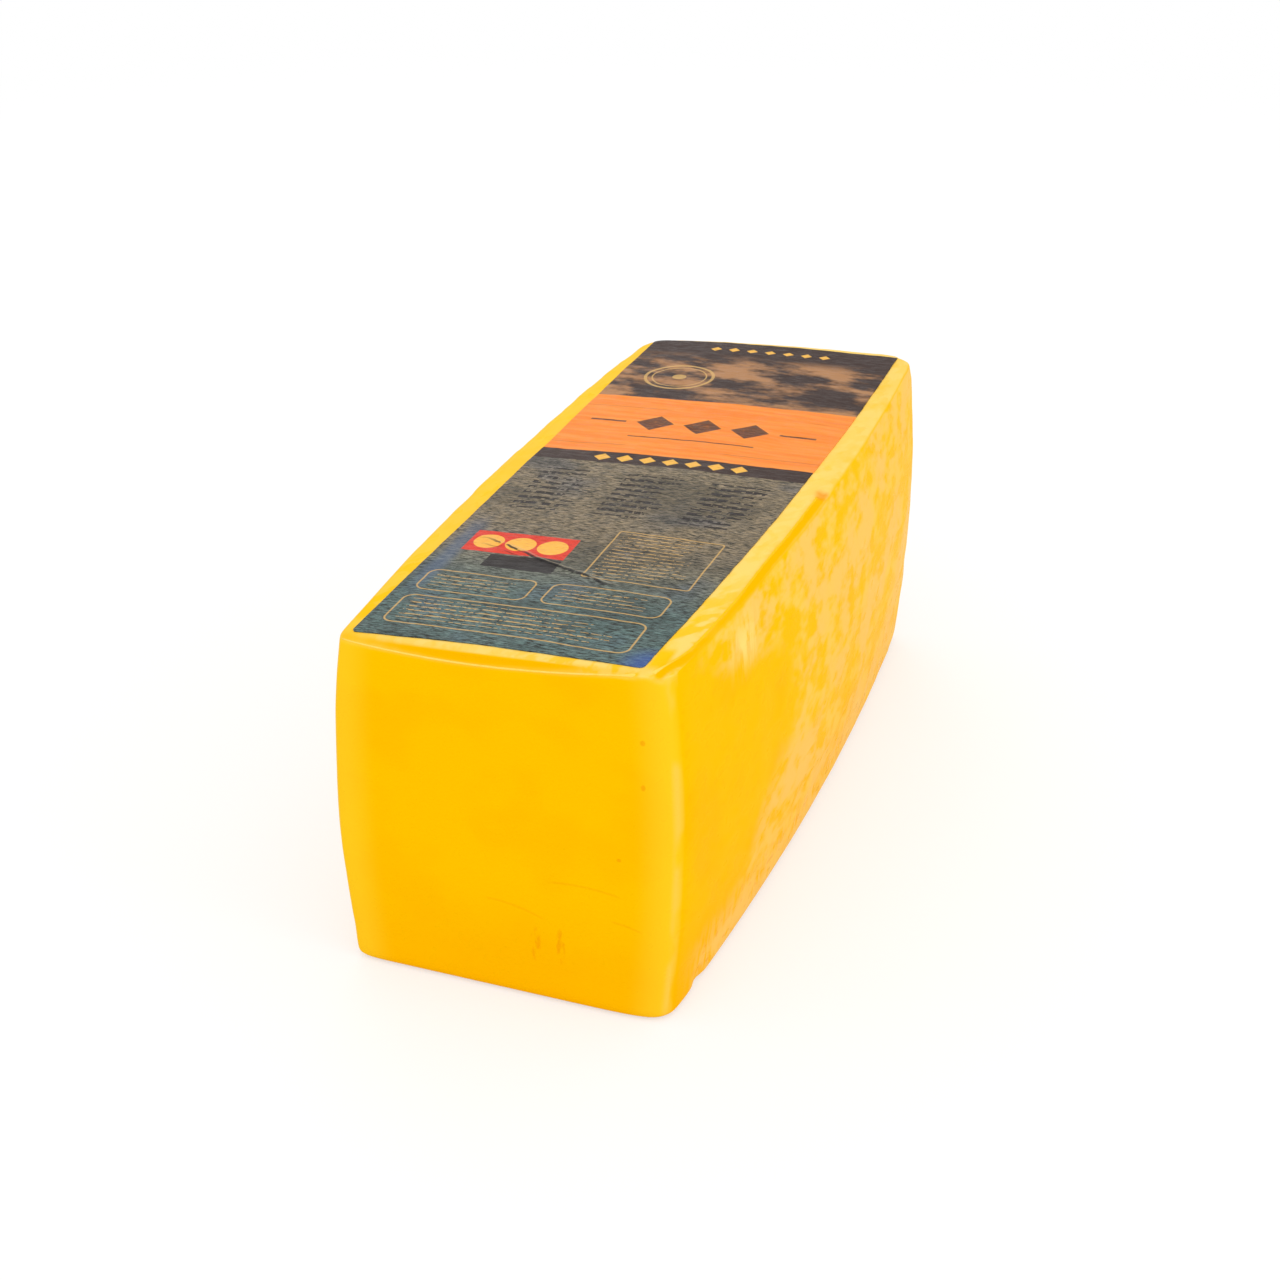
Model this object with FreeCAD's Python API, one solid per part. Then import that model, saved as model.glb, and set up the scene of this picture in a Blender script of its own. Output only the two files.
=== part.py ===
"""Butter cheese loaf in a tight yellow film, with a printed label on its top.

The loaf is a block that was pressed in a mould and has slumped a little: its two long
sides bow outwards in plan and bulge at half height, its back end is a little askew, and
its front left corner is lower than the rest. It stands on a flat base.

The row frame has +Z up and +Y along the loaf, away from its plain front end. The origin
is the centre of the bounding box, on the base plane. All sizes are in millimetres.
"""
import FreeCAD
import Part

import os

from FreeCAD import Vector

# The loaf as pressed
LOAF_LENGTH = 256.0         # front end to back end, on the centre line
TOP_WIDTH = 96.0            # across the top, at either end
LOAF_HEIGHT = 110.8         # base to the right-hand top edge

# How it has slumped
LEFT_BOW = 4.5              # how far the left top edge bows outwards in plan
RIGHT_BOW = 5.8             # the same for the right top edge
LEFT_BELLY = 6.7            # how far the left side bulges past a straight wall at half height
RIGHT_BELLY = 5.4           # the same for the right side
BELLY_AT_ENDS = 0.65        # share of the bulge that is left at the two ends
BASE_SHIFT = 0.6            # how far the base sits to the left of the top
FRONT_LEFT_DROP = 4.7       # how much lower the front left corner is
TOP_CROWN = 0.9             # rise of the top's middle over its long edges
BACK_SKEW = 6.9             # how far the back end's right corner lies behind its middle

# Rounded edges
TOP_EDGE_RADIUS = 3.0
BASE_EDGE_RADIUS_FRONT = 3.2
BASE_EDGE_RADIUS_BACK = 9.0         # the long base edges grow from the one to the other
UPRIGHT_RADII = {
    ("left", "front"): 4.8,
    ("right", "front"): 9.2,
    ("left", "back"): 10.8,
    ("right", "back"): 10.8,
}

# The label, with its margins counted from where the loaf's edges begin to round off
LABEL_THICKNESS = 0.3
LABEL_LEFT_MARGIN = 0.6
LABEL_RIGHT_MARGIN_FRONT = 5.5      # the label lies a little askew,
LABEL_RIGHT_MARGIN_BACK = 2.0       # nearer to the right side at the back
LABEL_FRONT_MARGIN = 0.5
LABEL_BACK_MARGIN = 0.8
LABEL_RIGHT_BOW = 3.1               # its right edge is stretched outwards over the bowed top
LABEL_CORNER_RADIUS = 1.5

# How the loaf is lofted
SECTION_COUNT = 7
TRIM_DEPTH = 2.0            # the sections run this far below the base, which is then cut flat


def bow(share):
    """0 at either end of a span and 1 at its middle."""
    return 4 * share * (1 - share)


def place(x, station, z):
    """A point of the section at that station. The sections fan out towards the askew back end."""
    share = station / LOAF_LENGTH
    return Vector(x, station + share * BACK_SKEW * x / (TOP_WIDTH / 2), z)


def side_height(station, side):
    """Height of the left or right top edge."""
    if side == "right":
        return LOAF_HEIGHT
    return LOAF_HEIGHT - FRONT_LEFT_DROP * (1 - station / LOAF_LENGTH)


def side_x(station, side, z):
    """Where the left or right side wall is at height z."""
    sign, bowed, belly = (
        (-1, LEFT_BOW, LEFT_BELLY) if side == "left" else (1, RIGHT_BOW, RIGHT_BELLY)
    )
    share = station / LOAF_LENGTH
    rise = z / side_height(station, side)
    bulge = belly * (BELLY_AT_ENDS + (1 - BELLY_AT_ENDS) * bow(share))
    half_width = TOP_WIDTH / 2 + bowed * bow(share) + bulge * bow(rise)
    return sign * half_width - BASE_SHIFT * (1 - rise)


def arched(start, middle, end):
    """The edge that starts and ends at two points and passes through the one midway between."""
    pole = middle * 2 - (start + end) * 0.5
    curve = Part.BezierCurve()
    curve.setPoles([start, pole, end])
    return curve.toShape()


def section(station):
    """The loaf's outline at a station: two bulging sides, a crowned top and a straight foot."""
    walls = {}
    for side in ("left", "right"):
        low = -TRIM_DEPTH
        high = side_height(station, side)
        walls[side] = [
            place(side_x(station, side, z), station, z)
            for z in (low, (low + high) / 2, high)
        ]
    left_foot, left_middle, left_top = walls["left"]
    right_foot, right_middle, right_top = walls["right"]
    crown = (left_top + right_top) * 0.5 + Vector(0, 0, TOP_CROWN)
    return Part.Wire([
        arched(right_foot, right_middle, right_top),
        arched(right_top, crown, left_top),
        arched(left_top, left_middle, left_foot),
        Part.makeLine(left_foot, right_foot),
    ])


def pressed_block():
    """The loaf with sharp edges, on a base that is cut flat."""
    step = LOAF_LENGTH / (SECTION_COUNT - 1)
    block = Part.makeLoft([section(step * i) for i in range(SECTION_COUNT)], True)
    reach = 2 * LOAF_LENGTH
    below = Part.makeBox(2 * reach, 2 * reach, reach, Vector(-reach, -reach, -reach))
    return block.cut(below).Solids[0]


def round_uprights(block):
    """Rounds the four upright edges, each to its own radius."""
    for (side, end), radius in UPRIGHT_RADII.items():
        def lies_there(edge):
            middle = edge.BoundBox.Center
            return (middle.x < 0) == (side == "left") and (
                (middle.y < LOAF_LENGTH / 2) == (end == "front")
            )
        tall = [edge for edge in block.Edges if edge.BoundBox.ZLength > LOAF_HEIGHT / 2]
        block = block.makeFillet(radius, [edge for edge in tall if lies_there(edge)][:1])
    return block.Solids[0]


def round_top(block):
    """Rounds the edge that runs round the top."""
    lowest = LOAF_HEIGHT - FRONT_LEFT_DROP - 1
    rim = [edge for edge in block.Edges if edge.BoundBox.ZMin > lowest]
    return block.makeFillet(TOP_EDGE_RADIUS, rim).Solids[0]


def base_radius(vertex):
    """The radius of the base edge where it passes that vertex."""
    if vertex.Point.y < LOAF_LENGTH / 2:
        return BASE_EDGE_RADIUS_FRONT
    return BASE_EDGE_RADIUS_BACK


def round_base(block):
    """Rounds the edge that runs round the base, more and more towards the back."""
    document = FreeCAD.newDocument()
    sharp = document.addObject("Part::Feature")
    sharp.Shape = block
    rounded = document.addObject("Part::Fillet")
    rounded.Base = sharp
    rounded.Edges = [
        (number, base_radius(edge.lastVertex(True)), base_radius(edge.firstVertex(True)))
        for number, edge in enumerate(block.Edges, start=1)
        if edge.BoundBox.ZMax < TRIM_DEPTH
    ]
    document.recompute()
    return rounded.Shape.Solids[0]


def make_loaf():
    """The pressed block with its edges rounded."""
    return round_base(round_top(round_uprights(pressed_block())))


def label_block():
    """An upright block with the label's outline, which passes through the loaf's top."""
    left = -TOP_WIDTH / 2 + TOP_EDGE_RADIUS + LABEL_LEFT_MARGIN
    right = TOP_WIDTH / 2 - TOP_EDGE_RADIUS
    right_front = right - LABEL_RIGHT_MARGIN_FRONT
    right_back = right - LABEL_RIGHT_MARGIN_BACK
    front = TOP_EDGE_RADIUS + LABEL_FRONT_MARGIN
    back = LOAF_LENGTH - TOP_EDGE_RADIUS - LABEL_BACK_MARGIN
    low = LOAF_HEIGHT / 2
    front_left, front_right, back_right, back_left = (
        place(x, y, low)
        for x, y in ((left, front), (right_front, front), (right_back, back), (left, back))
    )
    right_middle = (front_right + back_right) * 0.5 + Vector(LABEL_RIGHT_BOW, 0, 0)
    outline = Part.Wire([
        Part.makeLine(front_left, front_right),
        arched(front_right, right_middle, back_right),
        Part.makeLine(back_right, back_left),
        Part.makeLine(back_left, front_left),
    ])
    block = Part.Face(outline).extrude(Vector(0, 0, LOAF_HEIGHT))
    uprights = [edge for edge in block.Edges if edge.BoundBox.ZLength > LOAF_HEIGHT / 2]
    return block.makeFillet(LABEL_CORNER_RADIUS, uprights)


def make_label(loaf):
    """A thin sheet of the label's outline, which lies on the loaf's top all over."""
    high_faces = [face for face in loaf.Faces if face.BoundBox.ZMin > LOAF_HEIGHT / 2]
    top = max(high_faces, key=lambda face: face.Area)
    patch = top.common(label_block()).Faces[0]
    return patch.extrude(Vector(0, 0, LABEL_THICKNESS))


def move_to_row_frame(loaf, label):
    """Moves both so that the loaf's bounding box stands centred on the origin."""
    box = loaf.optimalBoundingBox(False, False)
    shift = Vector(-box.Center.x, -box.Center.y, -box.ZMin)
    for shape in (loaf, label):
        shape.translate(shift)


def main():
    loaf = make_loaf()
    label = make_label(loaf)
    move_to_row_frame(loaf, label)
    os.makedirs("parts", exist_ok=True)
    for name, shape in (("cheese_loaf", loaf), ("label", label)):
        shape.exportStep(f"parts/{name}.step")
        box = shape.optimalBoundingBox(False, False)
        print(name, "valid", shape.isValid(), "solids", len(shape.Solids), "faces", len(shape.Faces))
        print("  litres", round(shape.Volume / 1e6, 4), "box", box)


main()
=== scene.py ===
"""Looks for the butter cheese block: a loaf in a tight yellow film, the film's seam, and its label.

Every place is worked out from the boxes of the two CAD nodes. Lengths are in metres, and
MM turns a millimetre into one. The loaf lies along Y with its front end at the low side.
"""
import math

import bpy
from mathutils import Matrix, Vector
from mathutils.bvhtree import BVHTree
from mathutils.kdtree import KDTree

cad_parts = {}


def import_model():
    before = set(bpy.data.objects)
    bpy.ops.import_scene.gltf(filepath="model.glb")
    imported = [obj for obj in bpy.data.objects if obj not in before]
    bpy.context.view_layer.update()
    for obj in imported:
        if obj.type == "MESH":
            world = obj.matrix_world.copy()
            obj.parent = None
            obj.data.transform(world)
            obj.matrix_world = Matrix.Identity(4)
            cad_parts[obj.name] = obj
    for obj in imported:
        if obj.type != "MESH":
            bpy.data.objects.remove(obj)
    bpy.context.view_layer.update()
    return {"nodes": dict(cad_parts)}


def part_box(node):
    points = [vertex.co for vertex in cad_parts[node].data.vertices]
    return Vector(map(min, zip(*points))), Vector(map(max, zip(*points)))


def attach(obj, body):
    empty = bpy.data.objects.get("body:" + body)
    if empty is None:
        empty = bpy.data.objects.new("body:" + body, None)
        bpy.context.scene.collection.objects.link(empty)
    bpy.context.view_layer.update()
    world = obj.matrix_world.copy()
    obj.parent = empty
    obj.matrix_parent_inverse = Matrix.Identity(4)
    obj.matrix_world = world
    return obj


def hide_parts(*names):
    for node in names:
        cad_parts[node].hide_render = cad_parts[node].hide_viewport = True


MM = 0.001

# How the loaf has slumped in its mould
BACK_SKEW = 6.9 * MM          # how far the back end's right corner lies behind its middle
TOP_HALF_WIDTH = 48 * MM      # half the top's width at either end
LEFT_BOW = 4.5 * MM           # how far the top's long edges bow out in plan
RIGHT_BOW = 5.8 * MM
LEFT_BELLY = 6.7 * MM         # how far the long sides bulge at half height
RIGHT_BELLY = 5.4 * MM
BELLY_AT_ENDS = 0.65
FRONT_LEFT_DROP = 4.7 * MM    # how much lower the front left corner is

# The loaf's cage: its rows' distances from each edge, and how many cells lie between those
EDGE_ROWS = (1.1 * MM, 2.2 * MM, 3.6 * MM, 6.5 * MM, 11.5 * MM)
INNER_CELLS = (4, 10, 4)
CAGE_SMOOTHINGS = 8
CAGE_SPLITS = 3               # how many times each cell is halved both ways when it's rounded

# The film's seam: a shallow arc across the front end, then along the right top edge
SEAM_RADIUS = 0.3 * MM
SEAM_STEP = 1.2 * MM
SEAM_BELOW_TOP = 0.6 * MM     # its level on the right edge, below the loaf's highest level
FRONT_SEAM_START = 1 * MM     # from the top's left corner
FRONT_SEAM_DROP = 1.2 * MM    # below the top edge at its two ends
FRONT_SEAM_SAG = 3.0 * MM     # and further at its middle
FRONT_SEAM_REACH = 38 * MM    # where it turns up to the corner, right of the middle
EDGE_SEAM_START = 3 * MM      # from the front end, to the nick
NICK_STATION = 127 * MM
CORNER_REACH = 20 * MM        # the rounded corner pulls the seam inwards over this length
EDGE_SEAM_INSET = 1.4 * MM    # from the top's bowed right edge inwards
CORNER_SEAM_INSET = 3.6 * MM  # and further at the corner
FAR_SEAM_INSET = 1.1 * MM     # and further past the middle of its length
SEAM_SINK = (0.35, 0.6)       # how much of its radius lies in the film, in front and on the edge
BLOB_WIDTH = 1.4              # the seam's blob at its corner, in radii, and its share of the run
BLOB_SHARE = 0.012

# The seam's groove, the nick at its end, and the dent in the right base edge
GROOVE_ON_FRONT = Vector((0, 0, 1.4 * MM))
GROOVE_ON_EDGE = Vector((1.1 * MM, 0, -0.7 * MM))
GROOVE_REACH = 1.7 * MM
GROOVE_DEPTH = 0.6 * MM
NICK_PAST_SEAM = Vector((0.7 * MM, 2.2 * MM, -0.3 * MM))
NICK_REACH = 1.8 * MM
NICK_DEPTH = 2.0 * MM
# How far the painted shade around the nick reaches
NICK_SHADE_REACH = 2.5 * MM
NOTCH_PLACE = Vector((49.7 * MM, 22.5 * MM, 3.5 * MM))    # its Y is a station
NOTCH_REACH = 3.2 * MM
NOTCH_DEPTH = 1.4 * MM

# The label
LABEL_CELL = 0.95 * MM
LABEL_THICKNESS = 0.25 * MM
LABEL_ABOVE = 5 * MM          # the sheet is made this far above the loaf, and then laid on it
PRINT_TILT = 0.03             # the print is a little askew on the loaf
WRINKLE_START = -78 * MM      # where the label's long wrinkle crosses the middle of the loaf
WRINKLE_SLOPE = -0.45
WRINKLE_SQUARE = 0.91         # turns a distance along the loaf into one square to the wrinkle
WRINKLE_LEFT = -38 * MM       # where it begins, and how far it reaches across
WRINKLE_SPAN = 60 * MM
WRINKLE_HALF = 1.1 * MM
WRINKLE_HEIGHT = 0.35 * MM
FRONT_TO_STRIP = 132          # stations in millimetres where the label's fields of colour meet
STRIP_TO_BAND = 140.8
BAND_TO_TOP_FIELD = 191.3
PRINT_EDGE = 0.12             # how soft the print's edges are, in millimetres

# The studio
WORLD_LIGHT = 0.88
FLOOR_SIZE = 12
FLOOR_WHITE = 0.84            # what the floor throws back
FLOOR_SHOWN = 0.45            # how much of the light and shadow on it shows over its own white
FLOOR_FADE = (0.35, 1.2)      # distances over which it fades into the white all round
LIT_PLACE = (0, 0, 0.05)      # what the lamps face
LAMPS = (                     # name, place, size, power
    ("key", (0.3, -0.6, 1.6), 1.3, 2.6),
    ("front_fill", (-0.2, -1.6, 0.9), 1.2, 3.6),
    ("right_fill", (1.6, -0.1, 0.7), 1.2, 5),
    ("back_fill", (-0.9, 1.4, 0.8), 1.2, 4),
)
CAMERA_PLACE = (0.20516, -0.57803, 0.36331)
CAMERA_DOWN = 27.054          # degrees below the level
CAMERA_TURN = 20.251          # degrees to the left of straight along the loaf
CAMERA_LENS = 59.42           # in millimetres, as is the sensor's width
SENSOR_WIDTH = 36


def display(red, green, blue):
    """A colour given as a screen shows it, 0 to 255, turned into the shader's linear one."""
    return tuple(
        (c / 12.92 if c <= 0.04045 else ((c + 0.055) / 1.055) ** 2.4)
        for c in (red / 255, green / 255, blue / 255)
    ) + (1.0,)


def bow(share):
    """0 at either end of a span and 1 at its middle."""
    return 4 * share * (1 - share)


def ramp(value, start, end):
    """0 before the start, 1 after the end, and smooth between."""
    t = min(max((value - start) / (end - start), 0), 1)
    return t * t * (3 - 2 * t)


def hill(off, reach):
    """1 where the offset is 0, fading out to either side over the reach."""
    return math.exp(-(off / reach) ** 2)


def near(place, reach):
    """A function that gives 1 at the place and fades out all round it."""
    return lambda co: hill((co - place).length, reach)


# ---------------------------------------------------------------- modelling


def start_fresh():
    """Deselects everything, so that an operator acts on the new primitive alone."""
    if bpy.context.mode != "OBJECT":
        bpy.ops.object.mode_set(mode="OBJECT")
    bpy.ops.object.select_all(action="DESELECT")


def pick(piece):
    """Makes one piece the selected and active one."""
    start_fresh()
    piece.select_set(True)
    bpy.context.view_layer.objects.active = piece


def finish_modifier(piece, kind, **settings):
    """Adds a modifier to the piece and applies it."""
    pick(piece)
    modifier = piece.modifiers.new(kind.lower(), kind)
    for name, value in settings.items():
        setattr(modifier, name, value)
    bpy.ops.object.modifier_apply(modifier=modifier.name)


def new_cube(name, low, high):
    """A box between two corners, with its place in its mesh."""
    start_fresh()
    bpy.ops.mesh.primitive_cube_add(size=1, location=(low + high) / 2)
    piece = bpy.context.object
    piece.name = piece.data.name = name
    piece.scale = high - low
    bpy.ops.object.transform_apply(location=True, rotation=True, scale=True)
    return piece


def cut_rows(axis, places):
    """Cuts the mesh in edit mode straight across an axis, at each of the places."""
    normal = Vector((0, 0, 0))
    normal[axis] = 1
    for place in places:
        bpy.ops.mesh.select_all(action="SELECT")
        bpy.ops.mesh.bisect(plane_co=normal * place, plane_no=normal)


def row_places(low, high, inner_cells):
    """Rows close to both ends of a span, and even ones between."""
    near = [low + row for row in EDGE_ROWS]
    far = [high - row for row in reversed(EDGE_ROWS)]
    step = (far[0] - near[-1]) / inner_cells
    return near + [near[-1] + step * i for i in range(1, inner_cells)] + far


def slump(cage, low, high):
    """Bows the cage's long sides outwards, skews its back end and lowers its front left corner."""
    start_fresh()
    bpy.ops.object.add(type="LATTICE", location=(low + high) / 2)
    mould = bpy.context.object
    size = high - low
    mould.scale = size
    mould.data.points_u, mould.data.points_v, mould.data.points_w = 2, 5, 3
    for point in mould.data.points:
        side = 1 if point.co.x > 0 else -1
        share, rise = point.co.y + 0.5, point.co.z + 0.5
        bowed, belly = (RIGHT_BOW, RIGHT_BELLY) if side > 0 else (LEFT_BOW, LEFT_BELLY)
        swelling = belly * (BELLY_AT_ENDS + (1 - BELLY_AT_ENDS) * bow(share))
        half = TOP_HALF_WIDTH + bowed * bow(share) + swelling * bow(rise)
        behind = share * BACK_SKEW * side * half / TOP_HALF_WIDTH
        loaf_length = size.y - BACK_SKEW
        y = share * loaf_length + behind - size.y / 2
        drop = FRONT_LEFT_DROP * (1 - share) * rise if side < 0 else 0
        point.co_deform = Vector((side * half / size.x, y / size.y, point.co.z - drop / size.z))
    finish_modifier(cage, "LATTICE", object=mould)
    bpy.data.objects.remove(mould)


def weigh(piece, name, weight_at):
    """A vertex group whose weights a function of the place gives."""
    group = piece.vertex_groups.new(name=name)
    for vertex in piece.data.vertices:
        weight = weight_at(vertex.co)
        if weight > 0.01:
            group.add([vertex.index], min(weight, 1), "REPLACE")
    return name


def clouds(name, size, depth=2):
    """A soft lumpy texture for the film's relief."""
    texture = bpy.data.textures.new(name, "CLOUDS")
    texture.noise_scale = size
    texture.noise_depth = depth
    return texture


def seam_path(low, high, surface):
    """Points of the seam on the loaf, and how many of them lie on the front end."""
    front, top = low.y, high.z - SEAM_BELOW_TOP
    length = high.y - low.y - BACK_SKEW
    points = []
    x = -TOP_HALF_WIDTH + FRONT_SEAM_START
    while x < FRONT_SEAM_REACH:
        edge = top - FRONT_LEFT_DROP * (0.5 - x / (2 * TOP_HALF_WIDTH))
        share = (x + TOP_HALF_WIDTH) / (FRONT_SEAM_REACH + TOP_HALF_WIDTH)
        points.append(Vector((x, front, edge - FRONT_SEAM_DROP - FRONT_SEAM_SAG * bow(share))))
        x += SEAM_STEP
    on_front = len(points)
    station = EDGE_SEAM_START
    while station < NICK_STATION:
        corner = 1 - ramp(station, 0, CORNER_REACH)
        far = ramp(station, 45 * MM, 80 * MM)
        inset = EDGE_SEAM_INSET + CORNER_SEAM_INSET * corner + FAR_SEAM_INSET * far
        x = TOP_HALF_WIDTH + RIGHT_BOW * bow(station / length) - inset
        points.append(Vector((x, front + station, top)))
        station += SEAM_STEP
    return [surface.find_nearest(point)[0] for point in points], on_front


def surface_of(piece):
    return BVHTree.FromObject(piece, bpy.context.evaluated_depsgraph_get())


def build_loaf(node, low, high):
    """The loaf in its film: a cage that is slumped, drawn onto the CAD solid, and rounded."""
    loaf = new_cube("cheese_in_film", low, high)
    bpy.ops.object.mode_set(mode="EDIT")
    for axis in range(3):
        cut_rows(axis, row_places(low[axis], high[axis], INNER_CELLS[axis]))
    bpy.ops.object.mode_set(mode="OBJECT")
    slump(loaf, low, high)
    finish_modifier(loaf, "SHRINKWRAP", target=node, wrap_method="NEAREST_SURFACEPOINT")
    # Smoothing the cage and drawing it on again opens the folds it has at the tight corners
    finish_modifier(loaf, "SMOOTH", factor=0.5, iterations=CAGE_SMOOTHINGS)
    finish_modifier(loaf, "SHRINKWRAP", target=node, wrap_method="NEAREST_SURFACEPOINT")
    finish_modifier(loaf, "SUBSURF", levels=CAGE_SPLITS, render_levels=CAGE_SPLITS)
    bpy.ops.object.shade_smooth()
    return loaf


def near_seam(run, on_front):
    """A function that gives how deep in the groove beside the seam a place is, 0 to 1."""
    tree = KDTree(len(run))
    for index, point in enumerate(run):
        tree.insert(point + (GROOVE_ON_FRONT if index < on_front else GROOVE_ON_EDGE), index)
    tree.balance()
    return lambda co: hill(tree.find(co)[2], GROOVE_REACH)


def dent_film(loaf, in_groove, nick, notch):
    """Presses dents and lumps into the film, ripples its long sides, and adds the seam's groove."""

    def above_base(co):
        return ramp(co.z, 2 * MM, 12 * MM)

    def on_long_sides(co):
        behind_front = 0.15 + 0.85 * ramp(co.y, -110 * MM, -30 * MM)
        return ramp(abs(co.x), 45 * MM, 51 * MM) * ramp(co.z, 1 * MM, 5 * MM) * behind_front

    def on_top(co):
        return ramp(co.z, 104 * MM, 109 * MM)

    # Each relief's name, lump size, layers, the grey that stays put, its height and its place
    for name, size, layers, level, height, weight_at in (
        ("broad_dents", 34 * MM, 1, 1, 0.8 * MM, above_base),
        ("side_ripples", 15 * MM, 2, 0.25, 1.0 * MM, on_long_sides),
        ("top_lumps", 7 * MM, 2, 1, 0.35 * MM, on_top),
    ):
        finish_modifier(
            loaf, "DISPLACE", texture=clouds(name, size, layers), mid_level=level, strength=height,
            vertex_group=weigh(loaf, name, weight_at),
        )
    for name, depth, weight_at in (
        ("seam_groove_depth", GROOVE_DEPTH, in_groove),
        ("base_notch_depth", NOTCH_DEPTH, near(notch, NOTCH_REACH)),
        ("nick_depth", NICK_DEPTH, near(nick, NICK_REACH)),
    ):
        finish_modifier(
            loaf, "DISPLACE", mid_level=0, strength=-depth, vertex_group=weigh(loaf, name, weight_at),
        )


def note_film(loaf, in_groove, nick, loaf_height):
    """Stores which way the film faces and where its seam's groove and nick are, which place its painted
    highlights, reflections and shade.
    """
    marks = {
        name: []
        for name in ("facing_up", "facing_side", "corner_highlight", "edge_gleam", "seam_groove", "nick_shade")
    }
    in_nick_shade = near(nick, NICK_SHADE_REACH)
    for vertex in loaf.data.vertices:
        co, normal = vertex.co, vertex.normal
        # The upright corners' painted highlight: a pale zone on the end faces beside each edge, and a line
        # along the rounded edge
        edge = TOP_HALF_WIDTH + RIGHT_BELLY * BELLY_AT_ENDS * bow(co.z / loaf_height)
        beside_edge = ramp(abs(co.x), edge - 14 * MM, edge - 3 * MM)
        on_end = ramp(abs(normal.y), 0.35, 0.75)
        # The top's painted highlight reaches further down the rounded edge over the front end
        lower = 0.38 * ramp(-normal.y, 0.05, 0.35)
        on_upright_edge = hill(abs(normal.x) - 0.74, 0.13) * ramp(abs(normal.y), 0.3, 0.5)
        marks["facing_up"].append(ramp(normal.z, 0.5 - lower, 0.9 - lower))
        marks["facing_side"].append(ramp(abs(normal.x), 0.75, 0.97))
        marks["corner_highlight"].append(beside_edge * on_end)
        marks["edge_gleam"].append(on_upright_edge)
        marks["seam_groove"].append(in_groove(co))
        marks["nick_shade"].append(in_nick_shade(co))
    for name, values in marks.items():
        loaf.data.attributes.new(name, "FLOAT", "POINT").data.foreach_set("value", values)


def bead(name, run, width_at):
    """A thin round bead of film along a run of points."""
    start_fresh()
    curve = bpy.data.curves.new(name, "CURVE")
    curve.dimensions = "3D"
    line = curve.splines.new("POLY")
    line.points.add(len(run) - 1)
    for index, (point, place) in enumerate(zip(line.points, run)):
        point.co = (*place, 1)
        point.radius = width_at(index / (len(run) - 1))
    curve.bevel_depth = SEAM_RADIUS
    curve.bevel_resolution = 3
    curve.use_fill_caps = True
    piece = bpy.data.objects.new(name, curve)
    bpy.context.scene.collection.objects.link(piece)
    pick(piece)
    bpy.ops.object.convert(target="MESH")
    piece = bpy.context.object
    bpy.ops.object.mode_set(mode="EDIT")
    bpy.ops.mesh.select_all(action="SELECT")
    bpy.ops.mesh.remove_doubles(threshold=0.001 * MM)
    bpy.ops.mesh.normals_make_consistent(inside=False)
    bpy.ops.object.mode_set(mode="OBJECT")
    bpy.ops.object.shade_smooth()
    return piece


def build_seam(run, on_front, surface):
    """The seam's bead: fine on the front end, with a small blob at the corner, and nearly sunk beyond."""
    turn = on_front / (len(run) - 1)

    def width_at(share):
        blob = BLOB_WIDTH * hill(share - turn, BLOB_SHARE)
        if share < turn:
            return 0.6 + 0.4 * bow(share / turn) + blob
        past = (share - turn) / (1 - turn)
        return 0.9 + 0.3 * ramp(past, 0, 0.15) + 0.1 * math.sin(past * 40) + blob

    sunk = []
    for index, point in enumerate(run):
        place, outwards, _, _ = surface.find_nearest(point)
        sink = SEAM_SINK[0] if index < on_front else SEAM_SINK[1]
        sunk.append(place - outwards * sink * SEAM_RADIUS * width_at(index / (len(run) - 1)))
    return bead("film_seam", sunk, width_at)


def trim_to(node):
    """Cuts away, in edit mode, what lies outside the CAD label's side faces."""
    done = set()
    for face in node.data.polygons:
        normal = face.normal
        if abs(normal.z) > 0.5:
            continue
        flat = Vector((normal.x, normal.y, 0)).normalized()
        key = (round(math.atan2(flat.y, flat.x), 3), round(flat.dot(face.center) / (0.05 * MM)))
        if key in done:
            continue
        done.add(key)
        bpy.ops.mesh.select_all(action="SELECT")
        bpy.ops.mesh.bisect(plane_co=face.center, plane_no=flat, clear_outer=True)


def on_wrinkle(co):
    """How high a place is on the label's one long wrinkle, which crosses it diagonally."""
    aside = (co.y - (WRINKLE_START + WRINKLE_SLOPE * co.x)) * WRINKLE_SQUARE
    share = (co.x - WRINKLE_LEFT) / WRINKLE_SPAN
    return bow(share) ** 0.5 * hill(aside, WRINKLE_HALF) if 0 < share < 1 else 0


def build_label(node, loaf):
    """The label: a fine sheet trimmed to the CAD label's outline and laid on the film."""
    low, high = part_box("label")
    size = high - low
    start_fresh()
    cells_x, cells_y = round(size.x / LABEL_CELL), round(size.y / LABEL_CELL)
    bpy.ops.mesh.primitive_grid_add(
        x_subdivisions=cells_x, y_subdivisions=cells_y, size=1,
        location=((low.x + high.x) / 2, (low.y + high.y) / 2, high.z + LABEL_ABOVE),
    )
    label = bpy.context.object
    label.name = label.data.name = "label_sheet"
    label.scale = (size.x, size.y, 1)
    bpy.ops.object.transform_apply(location=True, rotation=True, scale=True)
    bpy.ops.object.mode_set(mode="EDIT")
    trim_to(node)
    bpy.ops.object.mode_set(mode="OBJECT")
    finish_modifier(
        label, "SHRINKWRAP", target=loaf, wrap_method="PROJECT",
        use_project_z=True, use_negative_direction=True, use_positive_direction=False,
    )
    finish_modifier(
        label, "DISPLACE", texture=clouds("label_crinkles", 3.2 * MM, 3), mid_level=0,
        direction="Z", strength=0.16 * MM,
    )
    finish_modifier(
        label, "DISPLACE", mid_level=0, direction="Z", strength=WRINKLE_HEIGHT,
        vertex_group=weigh(label, "wrinkle", on_wrinkle),
    )
    finish_modifier(label, "SOLIDIFY", thickness=LABEL_THICKNESS, offset=0.6)
    bpy.ops.object.shade_smooth_by_angle(angle=math.radians(50))
    return label


# ---------------------------------------------------------------- materials


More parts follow.
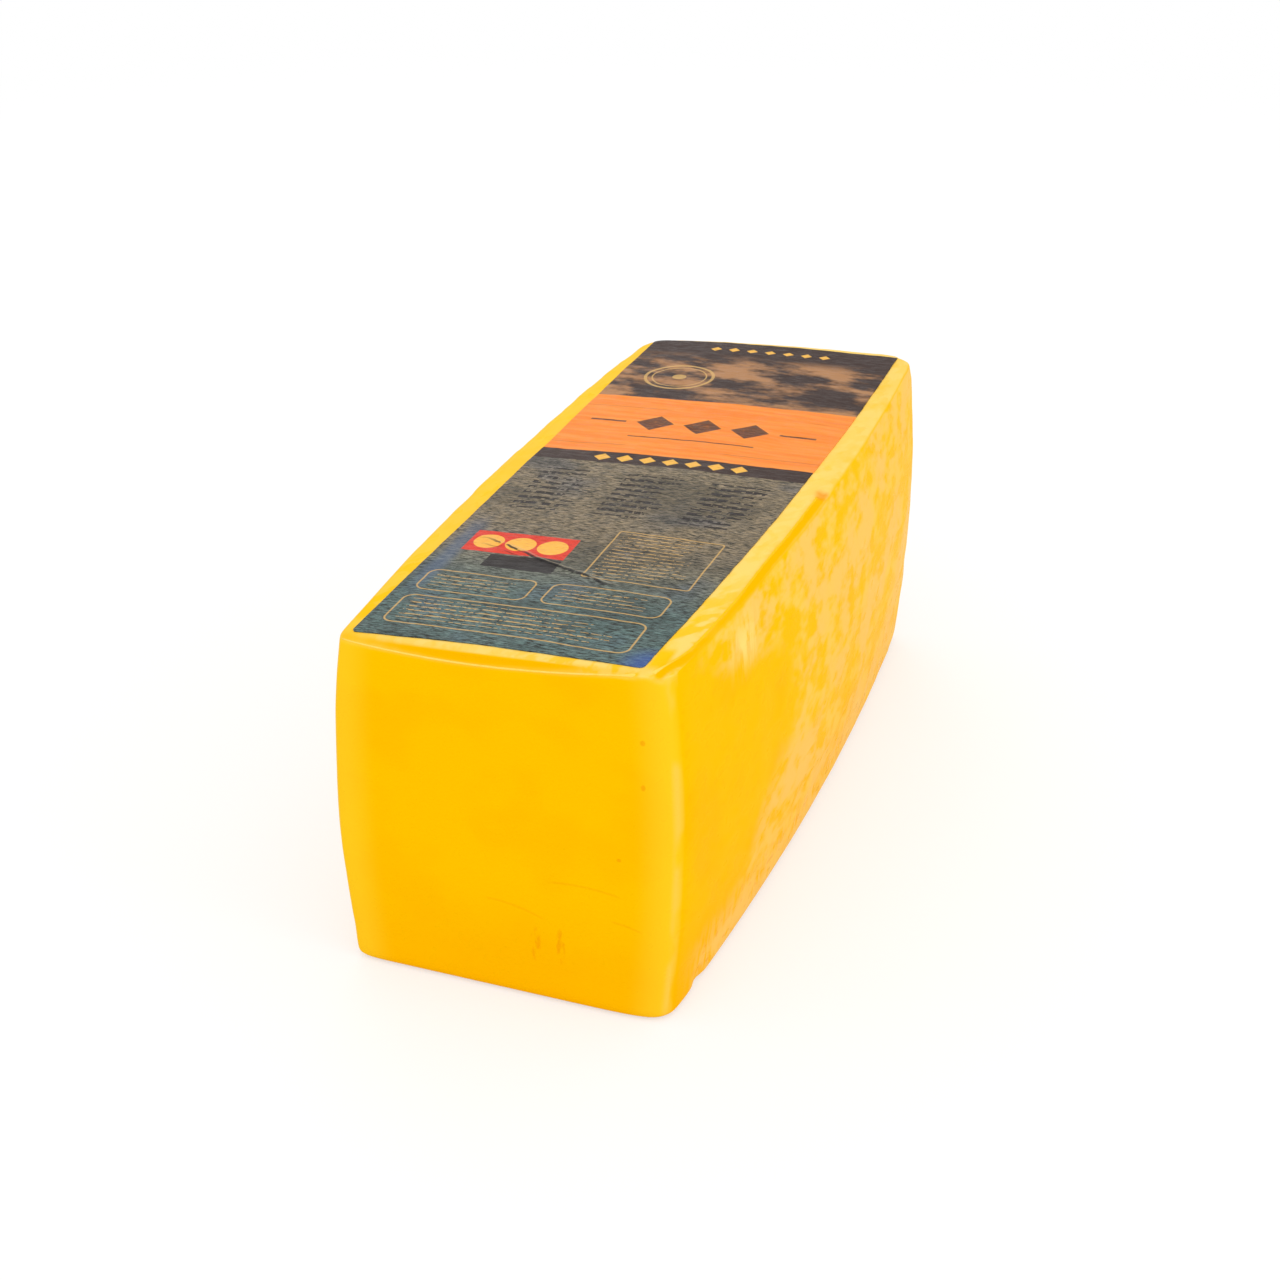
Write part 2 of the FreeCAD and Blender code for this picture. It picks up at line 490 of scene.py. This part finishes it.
class Paint:
    """One material's node tree, with short names for the steps of mixing a finish."""

    def __init__(self, name, roughness, specular):
        self.material = bpy.data.materials.new(name)
        self.material.use_nodes = True
        self.tree = self.material.node_tree
        self.shader = self.tree.nodes["Principled BSDF"]
        self.shader.inputs["Roughness"].default_value = roughness
        self.shader.inputs["Specular IOR Level"].default_value = specular
        self.object_place = self.node("ShaderNodeTexCoord").outputs["Object"]
        split = self.node("ShaderNodeSeparateXYZ")
        self.join(self.object_place, split.inputs[0])
        self.x, self.y, self.z = split.outputs

    def node(self, kind, **settings):
        node = self.tree.nodes.new(kind)
        for name, value in settings.items():
            setattr(node, name, value)
        return node

    def join(self, value, socket):
        """Links an output to the socket, or sets a constant on it."""
        if isinstance(value, bpy.types.NodeSocket):
            self.tree.links.new(value, socket)
        else:
            socket.default_value = value

    def math(self, operation, *values):
        node = self.node("ShaderNodeMath", operation=operation)
        for value, socket in zip(values, node.inputs):
            self.join(value, socket)
        return node.outputs[0]

    def fold(self, operation, values):
        """Takes the values together two by two, from the first on."""
        result = values[0]
        for value in values[1:]:
            result = self.math(operation, result, value)
        return result

    def times(self, *values):
        return self.fold("MULTIPLY", values)

    def plus(self, *values):
        return self.fold("ADD", values)

    def less(self, *values):
        return self.fold("SUBTRACT", values)

    def either(self, *masks):
        return self.fold("MAXIMUM", masks)

    def lowest(self, *values):
        return self.fold("MINIMUM", values)

    def apart(self, value, middle):
        """How far the value is from the middle, to either side."""
        return self.math("ABSOLUTE", self.less(value, middle))

    def squares(self, x, y):
        return self.plus(self.times(x, x), self.times(y, y))

    def rise(self, value, start, end, low=0.0, high=1.0):
        """From low, where the value is at the start or before it, smoothly up to high."""
        node = self.node("ShaderNodeMapRange", interpolation_type="SMOOTHSTEP")
        for name, given in (
            ("Value", value), ("From Min", start), ("From Max", end), ("To Min", low), ("To Max", high),
        ):
            self.join(given, node.inputs[name])
        return node.outputs[0]

    def within(self, value, middle, half, soft=0.1 * MM):
        """1 where the value is within half of the middle."""
        return self.rise(self.apart(value, middle), half + soft, half - soft)

    def mix(self, share, first, second):
        """The first colour where the share is 0, and the second one where it is 1."""
        node = self.node("ShaderNodeMix", data_type="RGBA")
        self.join(share, node.inputs["Factor"])
        self.join(first, node.inputs[6])
        self.join(second, node.inputs[7])
        return node.outputs[2]

    def noise(self, size, stretch=(1, 1, 1), detail=3.0, harshness=0.5, shift=0.0, turn=None, place=None):
        """Smooth noise, mostly 0.3 to 0.7, whose lumps are about that size and stretched along the axes.

        It's either shifted, or turned about Z.
        """
        lump = [size * share for share in stretch]
        if turn is None:
            mapping = self.node("ShaderNodeMapping", vector_type="POINT")
            mapping.inputs["Scale"].default_value = [1 / length for length in lump]
            mapping.inputs["Location"].default_value = (shift, shift, shift)
        else:
            mapping = self.node("ShaderNodeMapping", vector_type="TEXTURE")
            mapping.inputs["Scale"].default_value = lump
            mapping.inputs["Rotation"].default_value = (0, 0, turn)
        self.join(self.object_place if place is None else place, mapping.inputs["Vector"])
        node = self.node("ShaderNodeTexNoise")
        node.inputs["Scale"].default_value = 1.0
        node.inputs["Detail"].default_value = detail
        node.inputs["Roughness"].default_value = harshness
        self.join(mapping.outputs[0], node.inputs["Vector"])
        return node.outputs[0]

    def noted(self, name):
        """A value that the piece stores along its surface."""
        return self.node("ShaderNodeAttribute", attribute_name=name).outputs["Fac"]

    def bump(self, height, depth):
        node = self.node("ShaderNodeBump")
        node.inputs["Distance"].default_value = depth
        self.join(height, node.inputs["Height"])
        self.join(node.outputs[0], self.shader.inputs["Normal"])

    def finish(self, colour, roughness=None):
        self.join(colour, self.shader.inputs["Base Color"])
        if roughness is not None:
            self.join(roughness, self.shader.inputs["Roughness"])
        return self.material


FILM_YELLOW = display(253, 193, 0)
FILM_DEEP = display(252, 182, 0)
FILM_HIGHLIGHT_PALE = display(252, 205, 86)
FILM_PEACH = display(252, 201, 100)
FILM_TOP_HIGHLIGHT = display(252, 212, 112)
FILM_CORNER_HIGHLIGHT = display(254, 210, 44)
FILM_GLEAM = display(255, 222, 122)
FILM_GROOVE_SHADE = display(251, 184, 0)
FILM_STAIN_AND_SHADE = display(240, 146, 8)
FILM_SHEEN = (1.0, 0.8, 0.3, 1.0)


def crease(paint, start, end, sag, half=0.3 * MM):
    """A fine arched line on the front end, between two places given as (x, z)."""
    (x0, z0), (x1, z1) = start, end
    share = paint.math("DIVIDE", paint.less(paint.x, x0), x1 - x0)
    arch = paint.times(share, paint.less(1.0, share), 4 * sag)
    line = paint.plus(paint.times(share, z1 - z0), z0, arch)
    height = paint.less(paint.z, line)
    return paint.times(
        paint.within(height, 0.0, half, 0.35 * MM), paint.within(share, 0.5, 0.42, 0.08)
    )


def spot(paint, x, z, half_x, half_z):
    """A soft oval mark on the front end."""
    across = paint.math("DIVIDE", paint.less(paint.x, x), half_x)
    up = paint.math("DIVIDE", paint.less(paint.z, z), half_z)
    return paint.rise(paint.squares(across, up), 1.3, 0.3)


def front_marks(paint, station):
    """Marks on the front end: three fine creases darkened with painted shade, a scuff near the base and
    three small spots.
    """
    creases = paint.either(
        crease(paint, (-7 * MM, 31 * MM), (13 * MM, 27 * MM), 1.3 * MM),
        crease(paint, (12 * MM, 40 * MM), (36 * MM, 39.5 * MM), 1.2 * MM),
        crease(paint, (31 * MM, 31.5 * MM), (41 * MM, 29.5 * MM), 0.4 * MM),
    )
    scratches = paint.noise(1.3 * MM, (1, 1, 3), detail=3, shift=4.2)
    scuff = paint.times(
        paint.either(
            spot(paint, 9 * MM, 18.5 * MM, 1.6 * MM, 6 * MM),
            spot(paint, 16.4 * MM, 19.5 * MM, 1.4 * MM, 6 * MM),
        ),
        paint.rise(scratches, 0.42, 0.6),
    )
    spots = paint.either(
        spot(paint, 40.7 * MM, 89.5 * MM, 0.8 * MM, 0.9 * MM),
        spot(paint, 40.9 * MM, 76 * MM, 0.7 * MM, 1.0 * MM),
        spot(paint, 34 * MM, 52 * MM, 0.7 * MM, 0.6 * MM),
    )
    on_front = paint.rise(station, 3 * MM, 1 * MM)
    return paint.times(
        on_front, paint.either(paint.times(creases, 0.3), paint.times(scuff, 0.6), paint.times(spots, 0.6))
    )


def mottling(paint, station, side):
    """Where the long sides are mottled with painted reflections: past a smooth stretch that reaches
    furthest at mid height.
    """
    reach = paint.lowest(
        paint.rise(paint.z, 76 * MM, 108 * MM, 84 * MM, 16 * MM),
        paint.rise(paint.z, 12 * MM, 66 * MM, 44 * MM, 84 * MM),
        paint.rise(paint.z, 8 * MM, 18 * MM, 22 * MM, 90 * MM),
    )
    ragged = paint.times(paint.noise(14 * MM, detail=3, shift=1.3), 34 * MM)
    past = paint.plus(paint.less(station, reach), ragged)
    return paint.times(side, paint.rise(past, 8 * MM, 34 * MM))


def cheese_film(low):
    """Deep yellow film: smooth at the front, mottled with painted reflections on the long sides, paler on
    the top with a painted highlight, and with painted shade low down and in its groove.
    """
    paint = Paint("cheese_film", 0.3, 0.003)
    station = paint.less(paint.y, low.y)
    up, side = paint.noted("facing_up"), paint.noted("facing_side")
    patches = paint.noise(24 * MM, (1.3, 1.3, 1), detail=2, shift=3.1)
    blots = paint.noise(6 * MM, (1, 1.7, 1), detail=2.5, harshness=0.45)
    specks = paint.noise(2.2 * MM, (1, 2.0, 1), detail=2, shift=7.7)
    streaks = paint.noise(2.4 * MM, (1, 1, 5), detail=2, shift=5.4)
    blend = paint.plus(paint.times(blots, 0.46), paint.times(patches, 0.32), paint.times(specks, 0.22))
    reflection_blots = paint.rise(blend, 0.425, 0.57)
    pale = paint.mix(paint.rise(patches, 0.4, 0.6), FILM_HIGHLIGHT_PALE, FILM_PEACH)

    # Yellow, deeper low down as painted shade, deeper in patches and in specks on the sides, and pale with
    # painted reflections in blots on the long sides
    tone = paint.mix(paint.times(paint.rise(paint.z, 42 * MM, 6 * MM), 0.7), FILM_YELLOW, FILM_DEEP)
    tone = paint.mix(paint.times(paint.rise(patches, 0.45, 0.62), 0.4), tone, FILM_DEEP)
    tone = paint.mix(paint.times(side, paint.rise(specks, 0.57, 0.66), 0.3), tone, FILM_DEEP)
    tone = paint.mix(paint.times(mottling(paint, station, side), reflection_blots, 0.95), tone, pale)
    # Peach streaks low down, and a painted reflection high up near the front: a gleaming patch of upright
    # streaks
    low_down = paint.times(side, paint.rise(paint.z, 24 * MM, 9 * MM), paint.rise(station, 9 * MM, 26 * MM))
    tone = paint.mix(paint.times(low_down, paint.rise(streaks, 0.4, 0.56), 0.72), tone, FILM_PEACH)
    tone = paint.mix(paint.times(low_down, paint.rise(specks, 0.6, 0.68), 0.35), tone, FILM_STAIN_AND_SHADE)
    gleaming = paint.times(
        side, paint.within(station, 49 * MM, 8 * MM, 7 * MM),
        paint.within(paint.z, 98 * MM, 5 * MM, 7 * MM),
    )
    tone = paint.mix(paint.times(gleaming, paint.rise(streaks, 0.4, 0.58), 0.9), tone, FILM_GLEAM)
    # Painted highlights on the upright corners: a paler zone beside each, with a broken gleam along their
    # edges
    tone = paint.mix(paint.times(paint.noted("corner_highlight"), 0.5), tone, FILM_CORNER_HIGHLIGHT)
    gleam_breaks = paint.rise(paint.noise(8 * MM, (1, 1, 2.5), detail=2, shift=2.6), 0.42, 0.6)
    tone = paint.mix(paint.times(paint.noted("edge_gleam"), gleam_breaks, 0.6), tone, FILM_HIGHLIGHT_PALE)
    # A painted highlight on the top beside the label, weaker on the left
    right = paint.rise(paint.x, -46 * MM, -36 * MM, 0.35, 1.0)
    tone = paint.mix(paint.times(up, right, paint.rise(blend, 0.38, 0.52, 0.6, 1.0)), tone, FILM_TOP_HIGHLIGHT)
    # Slanting dabs of deep yellow beside the front half of the label, and a patch at its front right
    # corner, which break the top's painted highlight
    dabs = paint.noise(3.4 * MM, (1, 2.6, 1), detail=2.5, turn=-0.6)
    dabbed = paint.times(
        up, paint.rise(dabs, 0.44, 0.58), paint.rise(station, 75 * MM, 22 * MM, 0.2, 0.85),
        paint.either(
            paint.rise(paint.x, -5 * MM, 25 * MM, 0.3, 1.0), paint.rise(station, 8 * MM, 14 * MM)
        ),
    )
    beside_corner = paint.times(
        up, paint.within(station, 10 * MM, 5.5 * MM, 2.5 * MM),
        paint.within(paint.x, 42.6 * MM, 2.2 * MM, 0.8 * MM),
    )
    tone = paint.mix(paint.either(dabbed, paint.times(beside_corner, 0.95)), tone, FILM_YELLOW)
    # Painted shade in the seam's groove, and a darker orange painted shade in the nick
    tone = paint.mix(paint.rise(paint.noted("seam_groove"), 0.1, 0.75), tone, FILM_GROOVE_SHADE)
    tone = paint.mix(paint.rise(paint.noted("nick_shade"), 0.1, 0.8), tone, FILM_STAIN_AND_SHADE)
    # The front end's marks, with painted shade along its creases
    marks = front_marks(paint, station)
    tone = paint.mix(paint.times(marks, 0.8), tone, FILM_STAIN_AND_SHADE)

    relief = paint.plus(paint.times(paint.noise(6 * MM, detail=2), 0.8), paint.times(marks, -0.8))
    paint.bump(relief, 0.05 * MM)
    paint.shader.inputs["Metallic"].default_value = 0.07
    paint.shader.inputs["Specular Tint"].default_value = FILM_SHEEN
    return paint.finish(tone, paint.rise(blots, 0.35, 0.7, 0.26, 0.42))


def seam_film(low):
    """The seam's doubled film: paler on the front end with a painted highlight, and beyond as deep a yellow
    as the painted shade in its groove.
    """
    paint = Paint("seam_film", 0.3, 0.004)
    grain = paint.noise(2 * MM)
    on_edge = paint.rise(paint.y, low.y + 2 * MM, low.y + 14 * MM)
    front = paint.mix(grain, display(254, 208, 60), display(254, 222, 124))
    edge = paint.mix(grain, display(254, 190, 6), display(254, 202, 44))
    return paint.finish(paint.mix(on_edge, front, edge))


class Print(Paint):
    """The label's finish, with flat places on it: across, and the station along the loaf, in mm."""

    def __init__(self, name, roughness, specular, low, length):
        super().__init__(name, roughness, specular)
        fan = self.plus(1.0, self.times(self.x, BACK_SKEW / TOP_HALF_WIDTH / length))
        straight = self.math("DIVIDE", self.less(self.y, low.y), fan)
        askew = self.plus(straight, self.times(self.x, PRINT_TILT))
        self.across = self.times(self.x, 1 / MM)
        self.station = self.times(askew, 1 / MM)

    def bar(self, across, half_across, station, half_station):
        """A filled rectangle."""
        return self.times(
            self.within(self.across, across, half_across, PRINT_EDGE),
            self.within(self.station, station, half_station, PRINT_EDGE),
        )

    def away(self, across, station):
        """The distance from a place."""
        return self.math(
            "SQRT", self.squares(self.less(self.across, across), self.less(self.station, station))
        )

    def filled(self, off, reach):
        """1 where the distance is below the reach."""
        return self.rise(off, reach + PRINT_EDGE, reach - PRINT_EDGE)

    def disc(self, across, station, radius):
        return self.filled(self.away(across, station), radius)

    def ring(self, across, station, radius, line):
        return self.within(self.away(across, station), radius, line / 2, PRINT_EDGE)

    def frame(self, left, right, near, far, corner, line):
        """The outline of a rectangle with rounded corners."""
        past_x, past_y = (
            self.either(self.less(self.apart(value, (low + high) / 2), (high - low) / 2 - corner), 0.0)
            for value, low, high in ((self.across, left, right), (self.station, near, far))
        )
        off = self.math("SQRT", self.squares(past_x, past_y))
        return self.within(off, corner, line / 2, PRINT_EDGE)

    def repeated(self, value, pitch):
        """How far the value is from the nearest whole number of pitches."""
        return self.math("ABSOLUTE", self.math("WRAP", value, -pitch / 2, pitch / 2))

    def diamonds(self, station, reach, pitch, half):
        """A row of diamonds across the label."""
        off = self.plus(self.repeated(self.across, pitch), self.apart(self.station, station))
        return self.times(self.filled(off, half), self.within(self.across, 0.0, reach, 0.1))

    def dashes(self, left, right, near, far, pitch, thick, shift, word=1.5):
        """Rows of dashes of uneven length, which fill a rectangle."""
        from_near = self.less(self.station, near)
        row = self.math("FLOOR", self.math("DIVIDE", from_near, pitch))
        line = self.filled(self.repeated(from_near, pitch), thick / 2)
        place = self.node("ShaderNodeCombineXYZ")
        self.join(self.across, place.inputs[0])
        self.join(self.times(row, 17.3), place.inputs[1])    # far enough for rows to be unlike
        broken = self.noise(word, detail=2, shift=shift, place=place.outputs[0])
        field = self.bar((left + right) / 2, (right - left) / 2, (near + far) / 2, (far - near) / 2)
        chance = self.node("ShaderNodeTexWhiteNoise", noise_dimensions="1D")
        self.join(self.plus(row, shift), chance.inputs["W"])
        end = self.less(right, self.times(chance.outputs["Value"], 0.35 * (right - left)))
        short = self.rise(self.across, end, self.less(end, 0.3))
        return self.times(line, self.rise(broken, 0.44, 0.48), field, short)

    def wrinkle(self, aside, half, wander):
        """A fine line that runs beside the label's long wrinkle and breaks up along it, for its painted
        shade and painted highlight.
        """
        straight = self.plus(self.times(self.x, WRINKLE_SLOPE), WRINKLE_START + aside)
        strayed = self.plus(straight, self.times(self.less(wander, 0.5), 6 * MM))
        off = self.times(self.less(self.y, strayed), WRINKLE_SQUARE)
        middle, half_span = WRINKLE_LEFT + WRINKLE_SPAN / 2, WRINKLE_SPAN / 2 - 7 * MM
        along = self.within(self.x, middle, half_span, 6 * MM)
        broken = self.rise(self.noise(4 * MM, detail=2, shift=aside / MM), 0.32, 0.46)
        return self.times(self.within(off, 0.0, half, 0.22 * MM), along, broken)


SLATE_DARK = display(40, 42, 38)
SLATE_TEAL = display(106, 130, 126)
SLATE_BROWN = display(158, 140, 112)
SLATE_BLUE = display(90, 108, 136)
STRIP_DARK = display(44, 34, 30)
STRIP_LIGHT = display(76, 56, 50)
BAND_ORANGE = display(246, 132, 44)
BAND_PALE = display(251, 150, 60)
SEPIA = display(188, 136, 90)
PRINT_GOLD = display(214, 172, 104)
PRINT_YELLOW = display(251, 190, 80)
PRINT_RED = display(228, 62, 44)
PRINT_INK = display(44, 38, 38)
CORNER_BLUE = display(66, 96, 160)
PLANK_GAP = display(190, 90, 40)
FOLD_SHADE = display(26, 22, 20)
FOLD_HIGHLIGHT = display(176, 160, 132)


def label_fields(paint, grain):
    """The label's ground: slate with brushed grain, a dark strip, an orange band, a dark top field."""
    station = paint.station
    blotches = paint.noise(17 * MM, (1.6, 1, 1), detail=3, shift=2.0)
    tints = paint.noise(26 * MM, detail=2, shift=9.0)
    light = paint.mix(paint.rise(station, 28, 78), SLATE_TEAL, SLATE_BROWN)
    light = paint.mix(paint.rise(tints, 0.46, 0.32, 0.0, 0.3), light, SLATE_BLUE)
    slate = paint.mix(paint.rise(grain, 0.38, 0.62), SLATE_DARK, light)
    slate = paint.mix(paint.rise(blotches, 0.5, 0.66, 0.0, 0.4), slate, SLATE_DARK)
    # A bluish sheen at the front right corner and along part of the left edge
    slate = paint.mix(paint.rise(paint.away(41, 6), 11, 2, 0.0, 0.75), slate, CORNER_BLUE)
    left_edge = paint.times(
        paint.within(paint.x, -39 * MM, 2.5 * MM, 2 * MM), paint.within(station, 55, 22, 12)
    )
    slate = paint.mix(paint.times(left_edge, 0.5), slate, SLATE_BLUE)

    planks = paint.noise(1.9 * MM, (14, 1, 1), detail=3, shift=5.0)
    orange = paint.mix(paint.rise(planks, 0.3, 0.7), BAND_ORANGE, BAND_PALE)
    plank_gaps = paint.either(
        paint.times(paint.within(station, 147.5, 0.25, 0.2), paint.rise(blotches, 0.42, 0.5)),
        paint.times(paint.within(station, 181, 0.2, 0.2), paint.rise(blotches, 0.5, 0.44)),
    )
    orange = paint.mix(paint.times(plank_gaps, 0.55), orange, PLANK_GAP)

    dark = paint.mix(grain, STRIP_DARK, STRIP_LIGHT)
    marble = paint.rise(
        paint.noise(13 * MM, (1.8, 1, 1), detail=4, harshness=0.6, shift=12.0), 0.4, 0.58
    )
    top_field = paint.mix(paint.times(marble, paint.rise(station, 240, 230), 0.85), dark, SEPIA)

    tone = slate
    for border, field in (
        (FRONT_TO_STRIP, dark), (STRIP_TO_BAND, orange), (BAND_TO_TOP_FIELD, top_field),
    ):
        tone = paint.mix(paint.rise(station, border - 0.15, border + 0.15), tone, field)
    return tone


def label_motifs(paint):
    """The label's plain motifs, each with its colour and strength."""
    red = paint.bar(-21, 16, 66, 7)
    ink = paint.either(
        paint.bar(-16, 11, 54, 4.2),
        *(
            paint.dashes(left, left + 19, 92, 124, 4.0, 1.9, shift, 2.2)
            for left, shift in ((-36, 0.0), (-9, 31.0), (18, 57.0))
        ),
    )
    emblem = paint.either(
        paint.diamonds(168, 24, 16, 6.4),
        paint.bar(-32, 6, 168, 0.6), paint.bar(32, 6, 168, 0.6),
        paint.bar(0, 21, 155.5, 0.35),
    )
    gold = paint.either(
        paint.frame(-39, 33, 10, 27, 3, 0.55),
        paint.frame(-39, -6, 31, 44, 3, 0.5),
        paint.frame(-1, 34, 31, 44, 3, 0.5),
        paint.frame(4, 36, 50, 82, 1, 0.5),
        paint.dashes(-36, 30, 13, 25, 2.4, 0.6, 11.0),
        paint.dashes(-36, -9, 34, 42, 2.2, 0.5, 23.0),
        paint.dashes(2, 31, 34, 42, 2.2, 0.5, 41.0),
        paint.dashes(6, 34, 52, 81, 2.2, 0.5, 77.0),
        paint.ring(-23, 213, 11.5, 1.1), paint.ring(-23, 213, 9.2, 0.5), paint.disc(-23, 213, 2.4),
    )
    yellow = paint.either(
        paint.diamonds(136.4, 26, 7.5, 2.8),
        paint.diamonds(243.5, 22, 6.5, 2.0),
        *(paint.disc(across, 66, 4.6) for across in (-31, -21, -11)),
    )
    return (
        (red, PRINT_RED, 0.95), (ink, PRINT_INK, 0.95), (emblem, PRINT_INK, 0.9),
        (gold, PRINT_GOLD, 0.8), (yellow, PRINT_YELLOW, 0.95),
    )


def label_print(low, length):
    """The label's fields of colour and motifs, a clear margin at its far end, and its wrinkle drawn in
    painted shade with a painted highlight beside it.
    """
    paint = Print("label_print", 0.42, 0.05, low, length)
    grain = paint.noise(0.32 * MM, (8, 1, 1), detail=3, harshness=0.7)
    tone = label_fields(paint, grain)
    worn = paint.rise(grain, 0.3, 0.5, 0.55, 1.0)
    for shape, colour, strength in label_motifs(paint):
        tone = paint.mix(paint.times(shape, worn, strength), tone, colour)
    # A clear margin at the far end, in the pale colour of the film's painted top highlight
    tone = paint.mix(paint.rise(paint.station, 251.0, 251.4), tone, FILM_TOP_HIGHLIGHT)

    # The wrinkle drawn as lines of painted shade, and a painted highlight on its lit side
    wander = paint.noise(11 * MM, detail=2, shift=8.0)
    folds = paint.either(
        paint.wrinkle(0.0, 0.55 * MM, wander),
        paint.times(paint.wrinkle(-3.2 * MM, 0.28 * MM, wander), 0.6),
    )
    tone = paint.mix(paint.times(folds, 0.92), tone, FOLD_SHADE)
    lit_side = paint.wrinkle(1.3 * MM, 0.25 * MM, wander)
    tone = paint.mix(paint.times(lit_side, 0.5), tone, FOLD_HIGHLIGHT)

    crinkles = paint.noise(1.5 * MM, (3.0, 1, 1), detail=4, harshness=0.6)
    paint.bump(paint.plus(paint.times(grain, 0.4), crinkles), 0.3 * MM)
    return paint.finish(tone, paint.rise(crinkles, 0.3, 0.7, 0.32, 0.52))


# ---------------------------------------------------------------- studio


def light_path_mix(tree, lit, shown, output):
    """Joins lit for light that falls on things, and shown for what the eye and reflections see."""
    path = tree.nodes.new("ShaderNodeLightPath")
    seen = path.outputs["Is Camera Ray"]
    for name in ("Is Glossy Ray", "Is Transmission Ray"):
        node = tree.nodes.new("ShaderNodeMath")
        node.operation = "MAXIMUM"
        tree.links.new(seen, node.inputs[0])
        tree.links.new(path.outputs[name], node.inputs[1])
        seen = node.outputs[0]
    mix = tree.nodes.new("ShaderNodeMixShader")
    for source, socket in ((seen, mix.inputs[0]), (lit, mix.inputs[1]), (shown, mix.inputs[2])):
        tree.links.new(source, socket)
    tree.links.new(mix.outputs[0], output)


def set_world():
    """White all round to look at, and a plain soft light from all round."""
    world = bpy.data.worlds.new("studio")
    world.use_nodes = True
    bpy.context.scene.world = world
    tree = world.node_tree
    lit, shown = tree.nodes["Background"], tree.nodes.new("ShaderNodeBackground")
    for background, strength in ((lit, WORLD_LIGHT), (shown, 1.0)):
        background.inputs["Color"].default_value = (1, 1, 1, 1)
        background.inputs["Strength"].default_value = strength
    light_path_mix(tree, lit.outputs[0], shown.outputs[0], tree.nodes["World Output"].inputs["Surface"])


def add_floor():
    """A plain pale floor that shows the loaf's soft shadow and fades into the white all round."""
    start_fresh()
    bpy.ops.mesh.primitive_plane_add(size=FLOOR_SIZE)
    floor = bpy.context.object
    floor.name = "floor"
    paint = Paint("floor_paper", 0.9, 0.0)
    paper, shown_paper = (
        paint.node("ShaderNodeBsdfDiffuse"), paint.node("ShaderNodeBsdfDiffuse"),
    )
    for shader, white in ((paper, FLOOR_WHITE), (shown_paper, FLOOR_SHOWN)):
        shader.inputs["Color"].default_value = (white, white, white, 1)
    own_white = paint.node("ShaderNodeEmission")
    own_white.inputs["Strength"].default_value = 1 - FLOOR_SHOWN
    near_white = paint.node("ShaderNodeAddShader")
    paint.join(shown_paper.outputs[0], near_white.inputs[0])
    paint.join(own_white.outputs[0], near_white.inputs[1])
    far_white = paint.node("ShaderNodeEmission")
    away = paint.node("ShaderNodeVectorMath", operation="LENGTH")
    paint.join(paint.object_place, away.inputs[0])
    fade = paint.node("ShaderNodeMixShader")
    paint.join(paint.rise(away.outputs["Value"], *FLOOR_FADE), fade.inputs[0])
    paint.join(near_white.outputs[0], fade.inputs[1])
    paint.join(far_white.outputs[0], fade.inputs[2])
    light_path_mix(
        paint.tree, paper.outputs[0], fade.outputs[0],
        paint.tree.nodes["Material Output"].inputs["Surface"],
    )
    floor.data.materials.append(paint.material)


def add_lamp(name, place, size, power):
    """A large soft lamp that faces the loaf."""
    data = bpy.data.lights.new(name, "AREA")
    data.shape = "DISK"
    data.size = size
    data.energy = power
    lamp = bpy.data.objects.new(name, data)
    lamp.location = place
    lamp.rotation_euler = (Vector(LIT_PLACE) - Vector(place)).to_track_quat("-Z", "Y").to_euler()
    bpy.context.scene.collection.objects.link(lamp)


def set_camera():
    """The camera looks down along the loaf from in front and a little to its right."""
    data = bpy.data.cameras.new("camera")
    data.sensor_width = SENSOR_WIDTH
    data.lens = CAMERA_LENS
    camera = bpy.data.objects.new("camera", data)
    camera.location = CAMERA_PLACE
    camera.rotation_euler = (math.radians(90 - CAMERA_DOWN), 0, math.radians(CAMERA_TURN))
    bpy.context.scene.collection.objects.link(camera)
    bpy.context.scene.camera = camera


# ---------------------------------------------------------------- the object


def main():
    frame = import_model()
    low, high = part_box("cheese_loaf")

    loaf = build_loaf(frame["nodes"]["cheese_loaf"], low, high)
    run, on_front = seam_path(low, high, surface_of(loaf))
    in_groove = near_seam(run, on_front)
    nick = run[-1] + NICK_PAST_SEAM
    notch = NOTCH_PLACE + Vector((0, low.y, 0))
    dent_film(loaf, in_groove, nick, notch)
    note_film(loaf, in_groove, nick, high.z)
    seam = build_seam(run, on_front, surface_of(loaf))
    label = build_label(frame["nodes"]["label"], loaf)

    for piece, material, slot in (
        (loaf, cheese_film(low), "cheese_film"),
        (seam, seam_film(low), "cheese_film"),
        (label, label_print(low, high.y - low.y - BACK_SKEW), "label_print"),
    ):
        piece.data.materials.clear()
        piece.data.materials.append(material)
        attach(piece, "root")
    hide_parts("cheese_loaf")
    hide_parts("label")

    set_world()
    add_floor()
    for lamp in LAMPS:
        add_lamp(*lamp)
    set_camera()
    bpy.context.scene.view_settings.view_transform = "Standard"


main()
